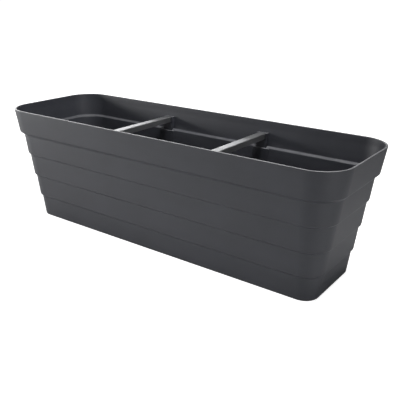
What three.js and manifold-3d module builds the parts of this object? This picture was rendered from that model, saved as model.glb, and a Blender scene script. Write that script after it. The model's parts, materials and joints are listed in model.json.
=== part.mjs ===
// Self-watering planter: a long stepped trough with two spreader braces, a slotted separator over a water
// reservoir, felt wicks, a filler tube with a hinged lid, a float gauge and a drain plug.
// Millimetres, +Z up. The origin is the middle of the footprint on the surface that the planter stands on.
// X runs along the length and the front is -Y.
import * as THREE from "three";
import { mergeVertices } from "three/addons/utils/BufferGeometryUtils.js";
import Module from "manifold-3d";

const wasm = await Module();
wasm.setup();

// Driving dimensions of the trough.
const LENGTH = 800;
const WIDTH = 260;
const HEIGHT = 253;
const TIERS = 5;
const TIER = HEIGHT / TIERS;
const TOP_LEAN = 0.148; // how far a wall moves in for each millimetre down, on the top tier
const LEAN = 0.12; // and on the tiers below it
const TOP_STEP = 6.7; // width and drop of the sloping step under the top tier
const STEP = 3.1; // and of the steps below it
const SIDE_SHARE = 0.93; // the long walls come in by this share of what the end walls do
const RIM_CORNER = 61;
const BASE_CORNER = 29;
const WALL = 2.8;
const RIM_WALL = 4;
const RIM_TAPER = 14; // the rim thins down to the wall over this height
const EDGE = 0.9; // edge rounding on the rim and the foot
const FOOT_WIDTH = 14;
const FOOT_HEIGHT = 4;
const FOOT_BAR_X = [-240, -120, 0, 120, 240]; // bars across the underside, flush with the foot
const FOOT_BAR = 10;
const FLOOR_TOP = FOOT_HEIGHT + WALL;
const CORNER_STEPS = 8;

// Spreader braces and their pockets.
const BRACE_X = 125;
const BRACE_TOP = 229;
const BRACE_WIDTH = 17;
const BRACE_DEPTH = 12;
const BRACE_WALL = 2.4;
const POCKET_WIDTH = 24;
const POCKET_FACE = 113.8; // distance of a pocket's open face from the middle
const POCKET_WALL = 2.8;
const FLARE_WIDTH = 40; // the swelling on the ledge that a pocket stands on
const FLARE_DEPTH = 5;
const TAB_THICKNESS = 2.7;
const TAB_DROP = 8;

// Separator plate over the reservoir.
const PLATE_BOTTOM = 54;
const PLATE_THICKNESS = 2.4;
const PLATE_TOP = PLATE_BOTTOM + PLATE_THICKNESS;
const PLATE_GAP = 0.6; // to the trough's wall
const PLATE_LIP = 5;
const LEG_X = [20, 175, 325]; // the crossed fins that carry the plate on the floor
const LEG_Y = 60;
const LEG_REACH = 9;
const FIN = 2.2;
const RIB_Y = 55;
const RIB_DEPTH = 5;
const SLOT_LENGTH = 15;
const SLOT_WIDTH = 4;
const SLOT_X_PITCH = 27;
const SLOT_Y_PITCH = 22;
const WICK_X = [136, 268];
const WICK_WIDTH = 30;
const WICK_THICKNESS = 3;
const WICK_SPAN = 44; // between the two slots that one wick passes through
const WICK_SLOT = 6;
const WICK_FOOT = 24; // length that lies on the reservoir floor at each end
const WICK_BEND = 4;

// Filler tube and gauge, which stand in the separator along the front wall.
const FITTING_Y = -66;
const FILLER_X = -296;
const FILLER_RADIUS = 15;
const FILLER_TOP = 217;
const MOUTH_RADIUS = 18.5;
const LID_THICKNESS = 2.4;
const HINGE_Y = FITTING_Y - MOUTH_RADIUS - 5;
const HINGE_Z = FILLER_TOP + 1.4;
const PIN_RADIUS = 1.5;
const GAUGE_X = 296;
const GAUGE_RADIUS = 12;
const GAUGE_TOP = 188;
const WINDOW_TOP = 223;
const FLOAT_BOTTOM = 13;
const FLOAT_TRAVEL = 28;
const TUBE_WALL = 1.8;

// Drain and overflow in the left end wall.
const DRAIN_Z = 18;
const DRAIN_RADIUS = 7;
const BOSS_RADIUS = 11;
const BOSS_DEPTH = 8;
const OVERFLOW_Z = 40;
const OVERFLOW_Y = [-34, 34];
const OVERFLOW_RADIUS = 4;

const CLEARANCE = 0.3;

// ---- helpers ----

function solid(geometry) {
  const bare = geometry.index ? geometry.toNonIndexed() : geometry.clone();
  bare.deleteAttribute("normal");
  bare.deleteAttribute("uv");
  const merged = mergeVertices(bare, 1e-4);
  return new wasm.Manifold(
    new wasm.Mesh({
      numProp: 3,
      vertProperties: new Float32Array(merged.attributes.position.array),
      triVerts: new Uint32Array(merged.index.array),
    }),
  );
}

function geometryOf(manifold) {
  const mesh = manifold.getMesh();
  const geometry = new THREE.BufferGeometry();
  geometry.setAttribute("position", new THREE.BufferAttribute(new Float32Array(mesh.vertProperties), 3));
  geometry.setIndex(new THREE.BufferAttribute(new Uint32Array(mesh.triVerts), 1));
  geometry.computeVertexNormals();
  return geometry;
}

function joined(first, ...others) {
  return others.reduce((sum, next) => sum.add(next), first);
}

// A box from its lowest to its highest corner.
function block(low, high) {
  const size = high.map((value, axis) => value - low[axis]);
  const middle = high.map((value, axis) => (value + low[axis]) / 2);
  return solid(new THREE.BoxGeometry(...size).translate(...middle));
}

// A body turned about a vertical axis at (x, y), from the [radius, height] corners of its section.
function turned(corners, x, y, segments = 20) {
  const points = [...corners, corners[0]].map(([radius, height]) => new THREE.Vector2(radius, height));
  const geometry = new THREE.LatheGeometry(points, segments);
  return solid(geometry.rotateX(Math.PI / 2).translate(x, y, 0));
}

function upright(radius, low, high, x, y, segments = 20) {
  const geometry = new THREE.CylinderGeometry(radius, radius, high - low, segments);
  return solid(geometry.rotateX(Math.PI / 2).translate(x, y, (low + high) / 2));
}

// A round bar along X.
function crosswise(radius, from, to, y, z, segments = 20) {
  const geometry = new THREE.CylinderGeometry(radius, radius, to - from, segments);
  return solid(geometry.rotateZ(Math.PI / 2).translate((from + to) / 2, y, z));
}

// A profile drawn in (X, Z) and pushed along Y from one place to another.
function pushedAlongY(shape, from, to, curveSegments = 8) {
  const geometry = new THREE.ExtrudeGeometry(shape, {
    depth: to - from,
    bevelEnabled: false,
    curveSegments,
  });
  return solid(geometry.rotateX(Math.PI / 2).translate(0, to, 0));
}

function material(color, roughness, extra = {}) {
  return new THREE.MeshStandardMaterial({ color, roughness, metalness: 0, ...extra });
}

const anthracite = material(0x44464b, 0.42);
const aluminium = material(0xc9cbce, 0.3, { metalness: 1 });
const blackPlastic = material(0x222326, 0.5);
const feltGrey = material(0xb9b6ad, 0.95);
const clearPlastic = material(0xdfe8ea, 0.1, { transparent: true, opacity: 0.35 });
const floatWhite = material(0xe6e4dc, 0.7);
const signalRed = material(0xc3261d, 0.4);
const rubberBlack = material(0x17181a, 0.75);

const planter = new THREE.Group();

function add(parent, name, manifold, finish) {
  const mesh = new THREE.Mesh(geometryOf(manifold), finish);
  mesh.name = name;
  parent.add(mesh);
  return mesh;
}

// ---- trough ----

// The outline of the trough's outer face at a height, brought in by `extra` all round.
function outline(inset, z, extra = 0) {
  const halfX = LENGTH / 2 - inset - extra;
  const halfY = WIDTH / 2 - inset * SIDE_SHARE - extra;
  const radius = BASE_CORNER + ((RIM_CORNER - BASE_CORNER) * z) / HEIGHT - extra;
  const corners = [[1, 1], [-1, 1], [-1, -1], [1, -1]];
  return corners.flatMap(([signX, signY], quarter) =>
    Array.from({ length: CORNER_STEPS + 1 }, (_, step) => {
      const angle = (quarter + step / CORNER_STEPS) * (Math.PI / 2);
      const x = signX * (halfX - radius) + radius * Math.cos(angle);
      const y = signY * (halfY - radius) + radius * Math.sin(angle);
      return new THREE.Vector2(x, y);
    }),
  );
}

// Closed surface through rings of [outline, height], capped at both ends.
function loft(rings) {
  const count = rings[0][0].length;
  const positions = [];
  for (const [points, z] of rings) {
    for (const point of points) positions.push(point.x, point.y, z);
  }
  positions.push(0, 0, rings[0][1], 0, 0, rings.at(-1)[1]);
  const firstCentre = rings.length * count;
  const faces = [];
  for (let i = 0; i < count; i++) {
    const next = (i + 1) % count;
    for (let ring = 0; ring + 1 < rings.length; ring++) {
      const low = ring * count;
      const high = low + count;
      faces.push(low + i, low + next, high + next, low + i, high + next, high + i);
    }
    const last = (rings.length - 1) * count;
    faces.push(firstCentre, next, i, firstCentre + 1, last + i, last + next);
  }
  const geometry = new THREE.BufferGeometry();
  geometry.setAttribute("position", new THREE.Float32BufferAttribute(positions, 3));
  geometry.setIndex(faces);
  return solid(geometry);
}

// [inset, height] of the outer face from the rim down: the two ends of each sloping wall.
function tierLevels() {
  const levels = [[0, HEIGHT]];
  let inset = 0;
  let top = HEIGHT;
  for (let tier = 1; tier <= TIERS; tier++) {
    const bottom = HEIGHT - tier * TIER;
    const lean = tier === 1 ? TOP_LEAN : LEAN;
    const step = tier === 1 ? TOP_STEP : STEP;
    inset += (top - bottom) * lean;
    levels.push([inset, bottom]);
    if (tier < TIERS) {
      inset += step;
      top = bottom - step;
      levels.push([inset, top]);
    }
  }
  return levels;
}

const levels = tierLevels();
const BASE_INSET = levels.at(-1)[0];
const BOSS_FACE = LENGTH / 2 - BASE_INSET + 5;
const SMALL_LEDGE = 3; // the inner face of a step stands this much higher than its outer face
const TOP_LEDGE_DROP = 0.2; // but the back edge of the top one lies this far under it, for a flatter ledge

// How far in the trough's outer face is at a height.
function insetAt(z) {
  for (let i = 1; i < levels.length; i++) {
    const [inset, height] = levels[i];
    const [above, top] = levels[i - 1];
    if (z >= height) return inset + ((above - inset) * (z - height)) / (top - height);
  }
  return BASE_INSET;
}

// The trough's outer shape without its hollow, which the moulded details on its inside are trimmed to.
function troughBlock() {
  const outer = levels.slice(1, -1).reverse();
  return loft([
    [outline(BASE_INSET, 0, 0.5), 0.5],
    ...outer.map(([inset, z]) => [outline(inset, z, 0.5), z]),
    [outline(0, HEIGHT, 0.5), HEIGHT],
  ]);
}

function troughShell() {
  const outer = levels.slice(1, -1).reverse();
  const inner = levels.slice(1, -1).map(([inset, z]) => [inset, z + SMALL_LEDGE]);
  inner[0][1] = levels[1][1] - TOP_LEDGE_DROP;
  const taperZ = HEIGHT - RIM_TAPER;
  const floorInset = BASE_INSET - LEAN * FLOOR_TOP;
  const rings = [
    [outline(BASE_INSET, 0, FOOT_WIDTH), FOOT_HEIGHT],
    [outline(BASE_INSET, 0, FOOT_WIDTH), 0],
    [outline(BASE_INSET, 0, EDGE), 0],
    [outline(BASE_INSET, EDGE), EDGE],
    ...outer.map(([inset, z]) => [outline(inset, z), z]),
    [outline(0, HEIGHT), HEIGHT - EDGE],
    [outline(0, HEIGHT, EDGE), HEIGHT],
    [outline(0, HEIGHT, RIM_WALL - EDGE), HEIGHT],
    [outline(0, HEIGHT, RIM_WALL), HEIGHT - EDGE],
    [outline(insetAt(taperZ), taperZ, WALL), taperZ],
    ...inner.map(([inset, z]) => [outline(inset, z, WALL), z]),
    [outline(floorInset - 0.5, FLOOR_TOP + 4, WALL), FLOOR_TOP + 4],
    [outline(floorInset, FLOOR_TOP, WALL + 4), FLOOR_TOP],
  ];
  return loft(rings);
}

// The oval swelling under the pocket at x. Its face is upright, so that it sinks into the leaning wall on the
// way down, and its foot lies within the next ledge.
function flare(x, side) {
  const [inset, step] = levels[2];
  const top = step + SMALL_LEDGE;
  const low = levels[3][1] + SMALL_LEDGE / 2;
  const y = side * (WIDTH / 2 - inset * SIDE_SHARE - WALL);
  const geometry = new THREE.CylinderGeometry(1, 1, top - low, 24);
  geometry.rotateX(Math.PI / 2).scale(FLARE_WIDTH / 2, FLARE_DEPTH, 1);
  return solid(geometry.translate(x, y, (top + low) / 2));
}

// The pocket on the rear wall that takes the end of the brace at x; `side` is -1 on the front wall.
function pocket(x, side) {
  const wallFace = WIDTH / 2 - insetAt(BRACE_TOP) * SIDE_SHARE;
  const across = (near, far) => (side > 0 ? [near, far] : [-far, -near]);
  const box = (halfWidth, near, far, low, high) => {
    const [yLow, yHigh] = across(near, far);
    return block([x - halfWidth, yLow, low], [x + halfWidth, yHigh, high]);
  };
  const foot = levels[2][1] + SMALL_LEDGE - 1;
  const body = box(POCKET_WIDTH / 2, POCKET_FACE, wallFace - 1, foot, BRACE_TOP).add(flare(x, side));
  const throat = box(
    BRACE_WIDTH / 2 + CLEARANCE,
    POCKET_FACE - 1,
    wallFace - WALL - 0.6,
    BRACE_TOP - BRACE_DEPTH - CLEARANCE,
    BRACE_TOP + 1,
  );
  const tabSlot = box(
    BRACE_WIDTH / 2 - 1.7,
    POCKET_FACE + POCKET_WALL,
    POCKET_FACE + POCKET_WALL + TAB_THICKNESS + 2 * CLEARANCE,
    BRACE_TOP - BRACE_DEPTH - TAB_DROP - 2 * CLEARANCE,
    BRACE_TOP + 1,
  );
  return { body, cut: throat.add(tabSlot) };
}

function makeTrough() {
  const outer = troughBlock();
  let trough = troughShell();
  for (const x of [-BRACE_X, BRACE_X]) {
    for (const side of [-1, 1]) {
      const { body, cut } = pocket(x, side);
      trough = trough.add(body.intersect(outer)).subtract(cut);
    }
  }
  const barReach = WIDTH / 2 - BASE_INSET * SIDE_SHARE - FOOT_WIDTH + 1;
  for (const x of FOOT_BAR_X) {
    const low = [x - FOOT_BAR / 2, -barReach, 0];
    trough = trough.add(block(low, [x + FOOT_BAR / 2, barReach, FOOT_HEIGHT + 1]));
  }
  const boss = crosswise(BOSS_RADIUS, -BOSS_FACE, -BOSS_FACE + BOSS_DEPTH, 0, DRAIN_Z);
  const bore = crosswise(DRAIN_RADIUS, -BOSS_FACE - 5, -BOSS_FACE + 20, 0, DRAIN_Z);
  trough = trough.add(boss).subtract(bore);
  for (const y of OVERFLOW_Y) {
    trough = trough.subtract(crosswise(OVERFLOW_RADIUS, -BOSS_FACE - 5, -BOSS_FACE + 20, y, OVERFLOW_Z));
  }
  return trough;
}

add(planter, "trough", makeTrough(), anthracite);

// ---- braces ----

function braceSection() {
  const half = BRACE_WIDTH / 2;
  const round = 1.6;
  const bottom = BRACE_TOP - BRACE_DEPTH;
  const section = new THREE.Shape();
  section.moveTo(-half, bottom);
  section.lineTo(-half + BRACE_WALL, bottom);
  section.lineTo(-half + BRACE_WALL, BRACE_TOP - BRACE_WALL);
  section.lineTo(half - BRACE_WALL, BRACE_TOP - BRACE_WALL);
  section.lineTo(half - BRACE_WALL, bottom);
  section.lineTo(half, bottom);
  section.lineTo(half, BRACE_TOP - round);
  section.absarc(half - round, BRACE_TOP - round, round, 0, Math.PI / 2);
  section.lineTo(-half + round, BRACE_TOP);
  section.absarc(-half + round, BRACE_TOP - round, round, Math.PI / 2, Math.PI);
  return section;
}

// An inverted channel across the trough, with a tab at each end that hooks down into its pocket.
function makeBrace() {
  const tabNear = POCKET_FACE + POCKET_WALL + CLEARANCE;
  const tabFar = tabNear + TAB_THICKNESS;
  const bottom = BRACE_TOP - BRACE_DEPTH;
  let brace = pushedAlongY(braceSection(), -tabFar, tabFar);
  for (const side of [-1, 1]) {
    const [near, far] = side > 0 ? [tabNear, tabFar] : [-tabFar, -tabNear];
    const halfTab = BRACE_WIDTH / 2 - 2;
    brace = brace.add(block([-halfTab, near, bottom - TAB_DROP], [halfTab, far, BRACE_TOP - 1]));
  }
  for (const y of [-60, 0, 60]) {
    const half = BRACE_WIDTH / 2 - BRACE_WALL + 0.2;
    brace = brace.add(block([-half, y - 1, bottom + 1.5], [half, y + 1, BRACE_TOP - 1]));
  }
  return brace;
}

for (const [name, x] of [["brace_left", -BRACE_X], ["brace_right", BRACE_X]]) {
  add(planter, name, makeBrace(), aluminium).position.x = x;
}

// ---- separator ----

const plateInset = insetAt(PLATE_BOTTOM - SMALL_LEDGE);

function wallOfPlate(extra) {
  return outline(plateInset, PLATE_BOTTOM, WALL + PLATE_GAP + extra);
}

// A leg of two crossed fins that carries the plate on the floor.
function leg(x, y) {
  const foot = FLOOR_TOP + CLEARANCE;
  const along = block([x - LEG_REACH, y - FIN / 2, foot], [x + LEG_REACH, y + FIN / 2, PLATE_BOTTOM + 0.5]);
  const across = block([x - FIN / 2, y - LEG_REACH, foot], [x + FIN / 2, y + LEG_REACH, PLATE_BOTTOM + 0.5]);
  return along.add(across);
}

// Drain slots in rows over the plate, kept off the [x, y, reach in x, reach in y] places in `busy`.
function plateSlots(busy) {
  const slots = [];
  for (let x = SLOT_X_PITCH; x < LENGTH / 2 - plateInset - 20; x += SLOT_X_PITCH) {
    for (let row = -3; row <= 3; row++) {
      const y = row * SLOT_Y_PITCH;
      const clear = busy.every(([busyX, busyY, reachX, reachY]) => {
        return Math.abs(x - busyX) > reachX || Math.abs(y - busyY) > reachY;
      });
      if (!clear) continue;
      const low = [x - SLOT_LENGTH / 2, y - SLOT_WIDTH / 2, PLATE_BOTTOM - 1];
      slots.push(block(low, [x + SLOT_LENGTH / 2, y + SLOT_WIDTH / 2, PLATE_TOP + 1]));
    }
  }
  return slots;
}

// The right half of the separator, with a round hole for the fitting that stands in it.
function makeSeparator(fittingX, fittingHole) {
  const rings = [
    [wallOfPlate(0), PLATE_BOTTOM],
    [wallOfPlate(0), PLATE_TOP + PLATE_LIP],
    [wallOfPlate(1.8), PLATE_TOP + PLATE_LIP],
    [wallOfPlate(1.8), PLATE_TOP],
  ];
  const rightHalf = block([CLEARANCE, -WIDTH / 2, 0], [LENGTH / 2, WIDTH / 2, HEIGHT]);
  const ribLow = PLATE_BOTTOM - RIB_DEPTH;
  const ribHigh = PLATE_BOTTOM + 0.5;
  const ribs = [block([CLEARANCE, -86, ribLow], [CLEARANCE + FIN, 86, ribHigh])];
  for (const y of [-RIB_Y, RIB_Y]) {
    ribs.push(block([1, y - FIN / 2, ribLow], [335, y + FIN / 2, ribHigh]));
  }
  const legs = LEG_X.flatMap((x) => [leg(x, -LEG_Y), leg(x, LEG_Y)]);
  const busy = [[fittingX, FITTING_Y, fittingHole + SLOT_LENGTH / 2 + 5, fittingHole + 7]];
  const holes = [upright(fittingHole, ribLow - 1, PLATE_TOP + 1, fittingX, FITTING_Y)];
  for (const x of WICK_X) {
    busy.push([x, 0, WICK_SPAN / 2 + SLOT_LENGTH / 2 + 6, WICK_WIDTH / 2 + 5]);
    for (const middle of [x - WICK_SPAN / 2, x + WICK_SPAN / 2]) {
      const reach = WICK_WIDTH / 2 + 1.5;
      const low = [middle - WICK_SLOT / 2, -reach, ribLow - 1];
      holes.push(block(low, [middle + WICK_SLOT / 2, reach, PLATE_TOP + 1]));
    }
  }
  holes.push(...plateSlots(busy));
  const plate = joined(loft(rings).intersect(rightHalf), ...ribs, ...legs);
  return holes.reduce((left, hole) => left.subtract(hole), plate);
}

// ---- felt wicks ----

// A felt strip laid over the plate with both ends down in the water, drawn in (X, Z) about its middle.
function wickShape() {
  const half = WICK_THICKNESS / 2;
  const legX = WICK_SPAN / 2;
  const topZ = PLATE_TOP + CLEARANCE + half;
  const floorZ = FLOOR_TOP + CLEARANCE + half;
  const bend = WICK_BEND;
  const outside = bend + half;
  const inside = bend - half;
  const shape = new THREE.Shape();
  shape.moveTo(-legX - bend - WICK_FOOT, floorZ - half);
  shape.lineTo(-legX - bend, floorZ - half);
  shape.absarc(-legX - bend, floorZ + bend, outside, -Math.PI / 2, 0);
  shape.absarc(-legX + bend, topZ - bend, inside, Math.PI, Math.PI / 2, true);
  shape.absarc(legX - bend, topZ - bend, inside, Math.PI / 2, 0, true);
  shape.absarc(legX + bend, floorZ + bend, outside, Math.PI, 1.5 * Math.PI);
  shape.lineTo(legX + bend + WICK_FOOT, floorZ - half);
  shape.lineTo(legX + bend + WICK_FOOT, floorZ + half);
  shape.absarc(legX + bend, floorZ + bend, inside, -Math.PI / 2, -Math.PI, true);
  shape.absarc(legX - bend, topZ - bend, outside, 0, Math.PI / 2);
  shape.absarc(-legX + bend, topZ - bend, outside, Math.PI / 2, Math.PI);
  shape.absarc(-legX - bend, floorZ + bend, inside, 0, -Math.PI / 2, true);
  shape.lineTo(-legX - bend - WICK_FOOT, floorZ + half);
  return shape;
}

function makeWick() {
  return pushedAlongY(wickShape(), -WICK_WIDTH / 2, WICK_WIDTH / 2, 4);
}

const FILLER_HOLE = FILLER_RADIUS + CLEARANCE;
const GAUGE_HOLE = GAUGE_RADIUS + CLEARANCE;
const leftHalf = new THREE.Group();
leftHalf.scale.x = -1;
planter.add(leftHalf);
add(leftHalf, "separator_left", makeSeparator(-FILLER_X, FILLER_HOLE), blackPlastic);
add(planter, "separator_right", makeSeparator(GAUGE_X, GAUGE_HOLE), blackPlastic);
[-WICK_X[1], -WICK_X[0], WICK_X[0], WICK_X[1]].forEach((x, i) => {
  add(planter, `felt_wick_${i + 1}`, makeWick(), feltGrey).position.x = x;
});

// ---- filler ----

const HINGE_HALF = 7; // half the width between the hinge ears
const EAR_THICKNESS = 2.4;

// The tube that water is poured down: it passes through the separator and rests on a collar.
function makeFillerTube() {
  const r = FILLER_RADIUS;
  const tube = turned(
    [
      [r - TUBE_WALL, PLATE_BOTTOM - 8],
      [r, PLATE_BOTTOM - 8],
      [r, PLATE_TOP + CLEARANCE],
      [r + 4, PLATE_TOP + CLEARANCE],
      [r + 4, PLATE_TOP + 2.3],
      [r, PLATE_TOP + 2.3],
      [r, FILLER_TOP - 16],
      [MOUTH_RADIUS, FILLER_TOP - 6],
      [MOUTH_RADIUS, FILLER_TOP],
      [MOUTH_RADIUS - TUBE_WALL, FILLER_TOP],
      [MOUTH_RADIUS - TUBE_WALL, FILLER_TOP - 5.5],
      [r - TUBE_WALL, FILLER_TOP - 15.5],
    ],
    FILLER_X,
    FITTING_Y,
  );
  let made = tube;
  for (const side of [-1, 1]) {
    const inner = FILLER_X + side * (HINGE_HALF + CLEARANCE);
    const outer = inner + side * EAR_THICKNESS;
    const [low, high] = side > 0 ? [inner, outer] : [outer, inner];
    const earEnd = FITTING_Y - MOUTH_RADIUS + 2.4;
    const ear = block([low, HINGE_Y - 3.2, FILLER_TOP - 6], [high, earEnd, FILLER_TOP]);
    made = joined(made, ear, crosswise(3.2, low, high, HINGE_Y, HINGE_Z));
  }
  const bore = upright(MOUTH_RADIUS - TUBE_WALL, FILLER_TOP - 5.5, FILLER_TOP + 8, FILLER_X, FITTING_Y);
  const pinHole = crosswise(PIN_RADIUS + CLEARANCE, FILLER_X - 20, FILLER_X + 20, HINGE_Y, HINGE_Z);
  return made.subtract(bore).subtract(pinHole);
}

// A flat lid with a finger lip at the back and a knuckle between the ears.
function makeFillerLid() {
  const low = FILLER_TOP + CLEARANCE;
  const high = low + LID_THICKNESS;
  const disc = turned(
    [
      [0, low],
      [MOUTH_RADIUS + 0.6, low],
      [MOUTH_RADIUS + 0.6, high - 0.8],
      [MOUTH_RADIUS - 0.2, high],
      [0, high],
    ],
    FILLER_X,
    FITTING_Y,
  );
  const plug = turned(
    [
      [MOUTH_RADIUS - TUBE_WALL - 2, low - 3],
      [MOUTH_RADIUS - TUBE_WALL - 0.8, low - 3],
      [MOUTH_RADIUS - TUBE_WALL - 0.8, low + 1],
      [MOUTH_RADIUS - TUBE_WALL - 2, low + 1],
    ],
    FILLER_X,
    FITTING_Y,
  );
  const left = FILLER_X - HINGE_HALF;
  const right = FILLER_X + HINGE_HALF;
  const arm = block([left, HINGE_Y, HINGE_Z - 1], [right, FITTING_Y - MOUTH_RADIUS + 4, high]);
  const knuckle = crosswise(3.2, left, right, HINGE_Y, HINGE_Z);
  const lip = block([left, FITTING_Y + MOUTH_RADIUS - 2, low], [right, FITTING_Y + MOUTH_RADIUS + 4, high]);
  const pinHole = crosswise(PIN_RADIUS + CLEARANCE, left - 5, right + 5, HINGE_Y, HINGE_Z);
  return joined(disc, plug, arm, knuckle, lip).subtract(pinHole);
}

function makeLidPin() {
  const reach = HINGE_HALF + CLEARANCE + EAR_THICKNESS + 0.4;
  return crosswise(PIN_RADIUS, FILLER_X - reach, FILLER_X + reach, HINGE_Y, HINGE_Z);
}

add(planter, "filler_tube", makeFillerTube(), blackPlastic);
add(planter, "filler_lid", makeFillerLid(), blackPlastic);
add(planter, "filler_lid_pin", makeLidPin(), blackPlastic);

// ---- water gauge ----

function makeGaugeTube() {
  const r = GAUGE_RADIUS;
  const inner = r - TUBE_WALL;
  const low = FLOOR_TOP + 5;
  const tube = turned(
    [
      [inner, low],
      [r, low],
      [r, PLATE_TOP + CLEARANCE],
      [r + 4, PLATE_TOP + CLEARANCE],
      [r + 4, PLATE_TOP + 2.3],
      [r, PLATE_TOP + 2.3],
      [r, GAUGE_TOP],
      [inner, GAUGE_TOP],
    ],
    GAUGE_X,
    FITTING_Y,
  );
  const slotAcross = block(
    [GAUGE_X - 20, FITTING_Y - 1.5, low + 5],
    [GAUGE_X + 20, FITTING_Y + 1.5, PLATE_BOTTOM - 8],
  );
  const slotAlong = block(
    [GAUGE_X - 1.5, FITTING_Y - 20, low + 5],
    [GAUGE_X + 1.5, FITTING_Y + 20, PLATE_BOTTOM - 8],
  );
  return tube.subtract(slotAcross).subtract(slotAlong);
}

// The cap under the tube that keeps the float in and stands on the reservoir floor.
function makeGaugeEndCap() {
  const low = FLOOR_TOP + CLEARANCE;
  const rim = FLOOR_TOP + 5;
  const r = GAUGE_RADIUS;
  const cap = turned(
    [
      [0, low],
      [r + 1.5, low],
      [r + 1.5, rim + 4],
      [r + CLEARANCE, rim + 4],
      [r + CLEARANCE, rim - CLEARANCE],
      [0, rim - CLEARANCE],
    ],
    GAUGE_X,
    FITTING_Y,
  );
  return cap.subtract(upright(5, low - 1, rim + 1, GAUGE_X, FITTING_Y));
}

// The clear cap over the tube's top, through which the red head shows.
function makeGaugeWindow() {
  const r = GAUGE_RADIUS;
  return turned(
    [
      [r + CLEARANCE, GAUGE_TOP - 8],
      [r + 1.8, GAUGE_TOP - 8],
      [r + 1.8, WINDOW_TOP - 5],
      [r - 2.5, WINDOW_TOP],
      [0, WINDOW_TOP],
      [0, WINDOW_TOP - 1.6],
      [r - 3.3, WINDOW_TOP - 1.6],
      [r + CLEARANCE, WINDOW_TOP - 5.8],
    ],
    GAUGE_X,
    FITTING_Y,
  );
}

const FLOAT_HEIGHT = 18;
const FLOAT_RADIUS = GAUGE_RADIUS - TUBE_WALL - 1;
const STEM_RADIUS = 1.6;
const HEAD_HEIGHT = 7;
const HEAD_BOTTOM = WINDOW_TOP - 4 - FLOAT_TRAVEL - HEAD_HEIGHT;

function makeFloat() {
  const top = FLOAT_BOTTOM + FLOAT_HEIGHT;
  return turned(
    [
      [0, FLOAT_BOTTOM],
      [FLOAT_RADIUS - 1.5, FLOAT_BOTTOM],
      [FLOAT_RADIUS, FLOAT_BOTTOM + 1.5],
      [FLOAT_RADIUS, top - 1.5],
      [FLOAT_RADIUS - 1.5, top],
      [0, top],
    ],
    GAUGE_X,
    FITTING_Y,
  );
}

function makeStem() {
  const low = FLOAT_BOTTOM + FLOAT_HEIGHT + CLEARANCE;
  return upright(STEM_RADIUS, low, HEAD_BOTTOM - CLEARANCE, GAUGE_X, FITTING_Y, 16);
}

function makeHead() {
  const top = HEAD_BOTTOM + HEAD_HEIGHT;
  return turned(
    [
      [0, HEAD_BOTTOM],
      [7, HEAD_BOTTOM],
      [7, top - 1.5],
      [5.5, top],
      [0, top],
    ],
    GAUGE_X,
    FITTING_Y,
  );
}

add(planter, "gauge_tube", makeGaugeTube(), blackPlastic);
add(planter, "gauge_end_cap", makeGaugeEndCap(), blackPlastic);
add(planter, "gauge_window", makeGaugeWindow(), clearPlastic);
add(planter, "gauge_float", makeFloat(), floatWhite);
add(planter, "gauge_stem", makeStem(), floatWhite);
add(planter, "gauge_head", makeHead(), signalRed);

// ---- drain ----

const WASHER = 1.6;
const PLUG_HEAD = 3;

function makeDrainPlug() {
  const face = -BOSS_FACE - CLEARANCE - WASHER - CLEARANCE;
  const head = crosswise(9.5, face - PLUG_HEAD, face, 0, DRAIN_Z);
  const shank = crosswise(DRAIN_RADIUS - CLEARANCE, face - 1, -BOSS_FACE + 10, 0, DRAIN_Z);
  const grip = block([face - PLUG_HEAD - 7, -1.8, DRAIN_Z - 7], [face - 1, 1.8, DRAIN_Z + 7]);
  return joined(head, shank, grip);
}

function makeDrainWasher() {
  const far = -BOSS_FACE - CLEARANCE;
  const ring = crosswise(10, far - WASHER, far, 0, DRAIN_Z);
  return ring.subtract(crosswise(DRAIN_RADIUS, far - 5, far + 5, 0, DRAIN_Z));
}

add(planter, "drain_plug", makeDrainPlug(), blackPlastic);
add(planter, "drain_washer", makeDrainWasher(), rubberBlack);

export default planter;
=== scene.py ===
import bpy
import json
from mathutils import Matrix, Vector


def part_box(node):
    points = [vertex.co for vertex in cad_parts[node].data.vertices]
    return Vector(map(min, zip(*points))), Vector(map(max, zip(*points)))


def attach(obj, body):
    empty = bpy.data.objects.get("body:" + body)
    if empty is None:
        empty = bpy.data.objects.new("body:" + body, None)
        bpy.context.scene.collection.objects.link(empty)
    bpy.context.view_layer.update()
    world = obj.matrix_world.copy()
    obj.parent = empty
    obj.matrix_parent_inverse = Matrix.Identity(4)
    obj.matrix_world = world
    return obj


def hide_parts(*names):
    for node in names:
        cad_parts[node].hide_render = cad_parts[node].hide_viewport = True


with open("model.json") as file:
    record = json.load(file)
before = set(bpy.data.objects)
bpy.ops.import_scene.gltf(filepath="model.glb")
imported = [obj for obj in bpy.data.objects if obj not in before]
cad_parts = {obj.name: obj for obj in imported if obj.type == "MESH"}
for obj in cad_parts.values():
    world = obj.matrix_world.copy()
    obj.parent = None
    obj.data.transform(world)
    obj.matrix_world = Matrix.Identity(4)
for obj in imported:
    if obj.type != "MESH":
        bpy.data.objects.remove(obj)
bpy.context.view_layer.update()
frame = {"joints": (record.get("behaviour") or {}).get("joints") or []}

import json
import math

import bmesh
import bpy
from bpy.props import FloatProperty, FloatVectorProperty, IntProperty, PointerProperty
from mathutils import Matrix, Vector, noise

bl_info = {
    "name": "Self Watering Planter",
    "version": (1, 0, 0),
    "blender": (4, 5, 0),
    "location": "View3D > Sidebar > Planter",
    "description": "Builds a stepped self watering trough around its packed frame",
    "category": "Object",
}

MM = 0.001
TROUGH_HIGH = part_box("trough")[1]
CLEAR = 0.3 * MM


# ---- properties ----


def length(name, description, default, low=0.0001, high=2.0):
    """A size in metres that a user can change."""
    return FloatProperty(
        name=name, description=description, default=default, min=low, max=high, unit="LENGTH", precision=4
    )


def colour(name, description, default):
    """A linear colour that a user can change."""
    return FloatVectorProperty(
        name=name, description=description, default=default, min=0, max=1, size=3, subtype="COLOR"
    )


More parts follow.
